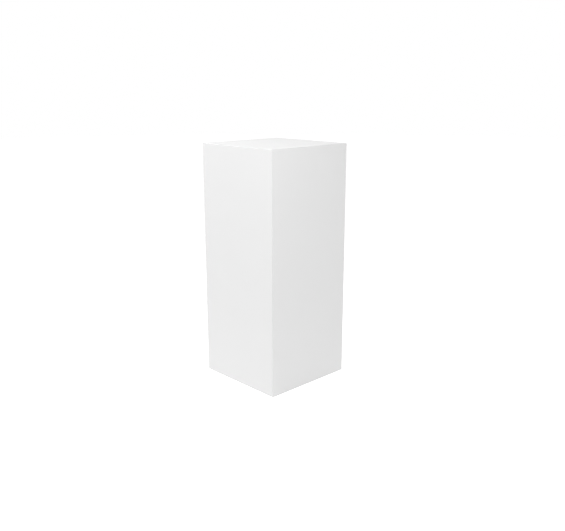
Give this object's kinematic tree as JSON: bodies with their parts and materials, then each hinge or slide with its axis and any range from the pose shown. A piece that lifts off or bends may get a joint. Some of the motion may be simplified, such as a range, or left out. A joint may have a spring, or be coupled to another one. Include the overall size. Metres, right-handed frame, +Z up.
{
  "type": "display plinth",
  "caption": "Square white display plinth: a mitred, lacquered MDF shell on a hidden timber frame that stands level on screw-adjusted feet.",
  "frame": {"origin": "on the floor under the middle of the plinth", "axes": "+Z up, -Y out of the front panel, +X out of the right panel"},
  "size_m": [0.4, 0.4, 0.95],
  "materials": {
    "white_lacquer_mdf": "white satin lacquer, sprayed on filled and sanded MDF",
    "birch_plywood": "bare birch plywood, sawn and glued",
    "planed_pine": "bare planed pine",
    "zinc_plated_steel": "bright zinc plating",
    "black_nylon": "moulded nylon, fine matt grain",
    "black_rubber": "moulded rubber"
  },
  "bodies": {
    "carcass": {"front_panel": "white_lacquer_mdf", "right_panel": "white_lacquer_mdf", "back_panel": "white_lacquer_mdf", "left_panel": "white_lacquer_mdf", "top_panel": "white_lacquer_mdf", "corner_tongue_front_right": "birch_plywood", "corner_tongue_back_right": "birch_plywood", "corner_tongue_back_left": "birch_plywood", "corner_tongue_front_left": "birch_plywood", "top_tongue_front": "birch_plywood", "top_tongue_right": "birch_plywood", "top_tongue_back": "birch_plywood", "top_tongue_left": "birch_plywood", "corner_post_front_right": "planed_pine", "corner_post_back_right": "planed_pine", "corner_post_back_left": "planed_pine", "corner_post_front_left": "planed_pine", "base_rail_front": "planed_pine", "base_rail_right": "planed_pine", "base_rail_back": "planed_pine", "base_rail_left": "planed_pine", "mid_rail_front": "planed_pine", "mid_rail_right": "planed_pine", "mid_rail_back": "planed_pine", "mid_rail_left": "planed_pine", "top_rail_front": "planed_pine", "top_rail_right": "planed_pine", "top_rail_back": "planed_pine", "top_rail_left": "planed_pine", "base_rail_screws": "zinc_plated_steel", "mid_rail_screws": "zinc_plated_steel", "top_rail_screws": "zinc_plated_steel", "top_panel_screws": "zinc_plated_steel", "post_screws": "zinc_plated_steel", "foot_insert_front_right": "zinc_plated_steel", "foot_insert_back_right": "zinc_plated_steel", "foot_insert_back_left": "zinc_plated_steel", "foot_insert_front_left": "zinc_plated_steel"},
    "foot_front_right": {"foot_pad_front_right": "black_nylon", "foot_sole_front_right": "black_rubber"},
    "stud_front_right": {"foot_stud_front_right": "zinc_plated_steel"},
    "foot_back_right": {"foot_pad_back_right": "black_nylon", "foot_sole_back_right": "black_rubber"},
    "stud_back_right": {"foot_stud_back_right": "zinc_plated_steel"},
    "foot_back_left": {"foot_pad_back_left": "black_nylon", "foot_sole_back_left": "black_rubber"},
    "stud_back_left": {"foot_stud_back_left": "zinc_plated_steel"},
    "foot_front_left": {"foot_pad_front_left": "black_nylon", "foot_sole_front_left": "black_rubber"},
    "stud_front_left": {"foot_stud_front_left": "zinc_plated_steel"}
  },
  "joints": [
    {"name": "foot_height_front_right", "type": "slide", "parent": "carcass", "child": "foot_front_right", "axis": [0, 0, 1], "range_m": [-0.012, 0.004]},
    {"name": "stud_turn_front_right", "type": "hinge", "parent": "foot_front_right", "child": "stud_front_right", "pos_m": [0.16, -0.16, 0], "axis": [0, 0, 1], "range_deg": [-3457, 1153]},
    {"name": "foot_height_back_right", "type": "slide", "parent": "carcass", "child": "foot_back_right", "axis": [0, 0, 1], "range_m": [-0.012, 0.004]},
    {"name": "stud_turn_back_right", "type": "hinge", "parent": "foot_back_right", "child": "stud_back_right", "pos_m": [0.16, 0.16, 0], "axis": [0, 0, 1], "range_deg": [-3457, 1153]},
    {"name": "foot_height_back_left", "type": "slide", "parent": "carcass", "child": "foot_back_left", "axis": [0, 0, 1], "range_m": [-0.012, 0.004]},
    {"name": "stud_turn_back_left", "type": "hinge", "parent": "foot_back_left", "child": "stud_back_left", "pos_m": [-0.16, 0.16, 0], "axis": [0, 0, 1], "range_deg": [-3457, 1153]},
    {"name": "foot_height_front_left", "type": "slide", "parent": "carcass", "child": "foot_front_left", "axis": [0, 0, 1], "range_m": [-0.012, 0.004]},
    {"name": "stud_turn_front_left", "type": "hinge", "parent": "foot_front_left", "child": "stud_front_left", "pos_m": [-0.16, -0.16, 0], "axis": [0, 0, 1], "range_deg": [-3457, 1153]}
  ],
  "couplings": [
    {"joint": "stud_turn_front_right", "follows": "foot_height_front_right", "rad_per_m": 5026.5},
    {"joint": "stud_turn_back_right", "follows": "foot_height_back_right", "rad_per_m": 5026.5},
    {"joint": "stud_turn_back_left", "follows": "foot_height_back_left", "rad_per_m": 5026.5},
    {"joint": "stud_turn_front_left", "follows": "foot_height_front_left", "rad_per_m": 5026.5}
  ]
}
